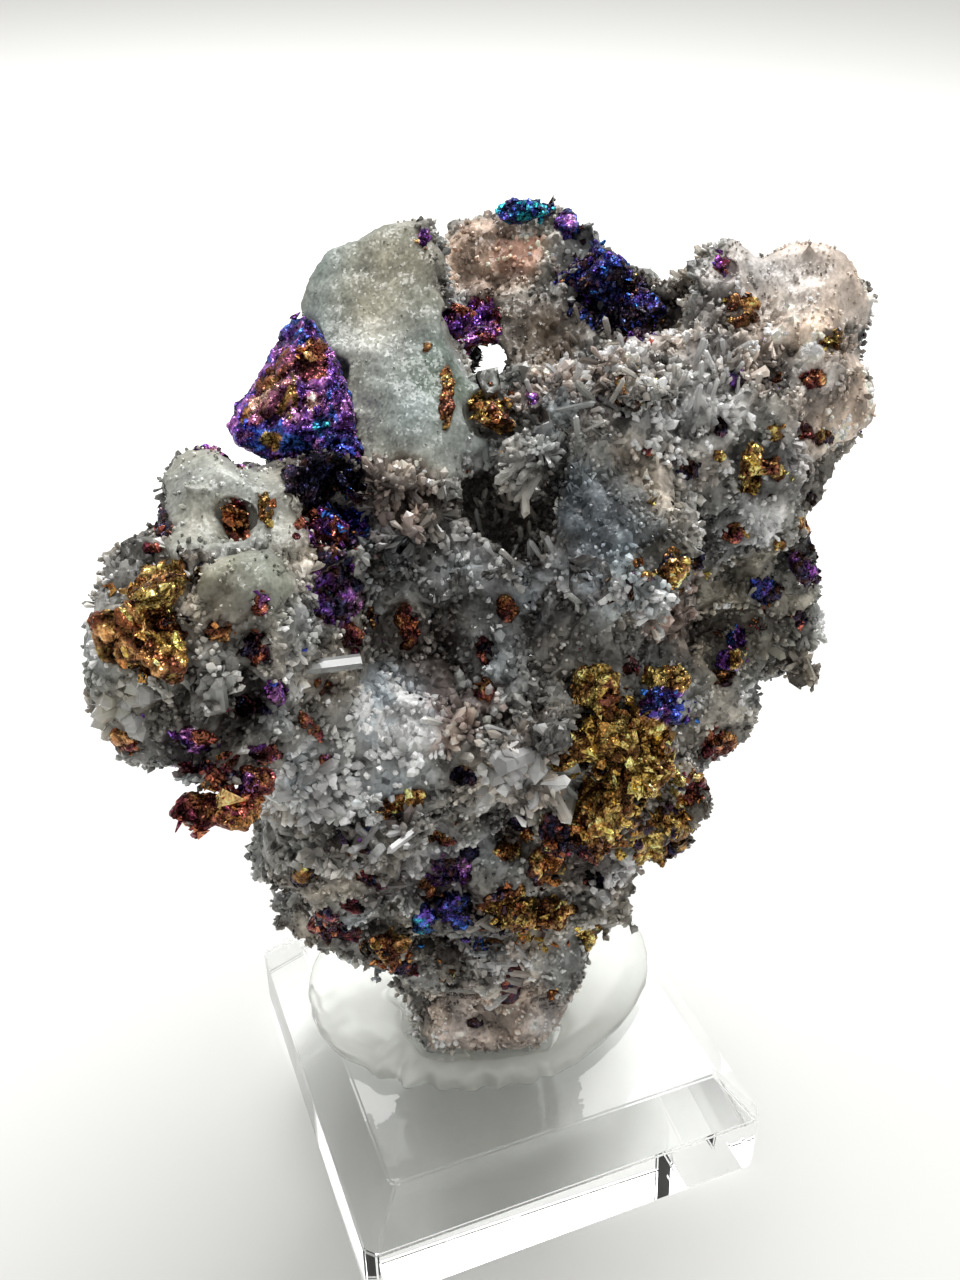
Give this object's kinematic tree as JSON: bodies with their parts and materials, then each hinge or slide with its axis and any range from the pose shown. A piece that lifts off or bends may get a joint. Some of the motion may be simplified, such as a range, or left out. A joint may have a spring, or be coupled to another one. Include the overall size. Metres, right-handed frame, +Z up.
{
  "type": "chalcopyrite on quartz specimen",
  "caption": "Drusy quartz specimen with iridescent chalcopyrite masses, fixed by a clear gel pad on a bevelled clear acrylic block.",
  "frame": {"origin": "centre of the acrylic block's underside, where the object rests", "axes": "+Z up; -Y is the block's front face; +X to the right seen from the front"},
  "size_m": [0.0879, 0.0588, 0.1093],
  "materials": {
    "quartz": "Milky to clear quartz, sugary and sparkling, with grey, greenish and pink zones",
    "chalcopyrite": "Brassy gold with purple, blue and copper iridescent tarnish, foliated and granular",
    "clear_gel": "Clear cloudy gel, glossy, with flutes along its front edge",
    "clear_acrylic": "Polished clear acrylic"
  },
  "bodies": {
    "root": {"quartz_matrix": "quartz", "chalcopyrite_purple_wedge": "chalcopyrite", "chalcopyrite_dark_trail": "chalcopyrite", "chalcopyrite_lobe_gold": "chalcopyrite", "chalcopyrite_lobe_foot": "chalcopyrite", "chalcopyrite_gold_cluster": "chalcopyrite", "chalcopyrite_foot_gold": "chalcopyrite", "chalcopyrite_foot_brown": "chalcopyrite", "chalcopyrite_foot_red": "chalcopyrite", "chalcopyrite_crest_black": "chalcopyrite", "chalcopyrite_crest_top": "chalcopyrite", "chalcopyrite_window_saddle": "chalcopyrite", "chalcopyrite_window_roof": "chalcopyrite", "chalcopyrite_right_gold": "chalcopyrite", "chalcopyrite_right_grains": "chalcopyrite", "chalcopyrite_rim_star": "chalcopyrite", "chalcopyrite_rim_arch": "chalcopyrite", "chalcopyrite_right_black": "chalcopyrite", "chalcopyrite_right_purple": "chalcopyrite", "chalcopyrite_valley_copper": "chalcopyrite", "chalcopyrite_lobe_copper": "chalcopyrite", "chalcopyrite_back_upper": "chalcopyrite", "chalcopyrite_back_lower": "chalcopyrite", "gel_pad": "clear_gel", "acrylic_block": "clear_acrylic"}
  },
  "joints": []
}
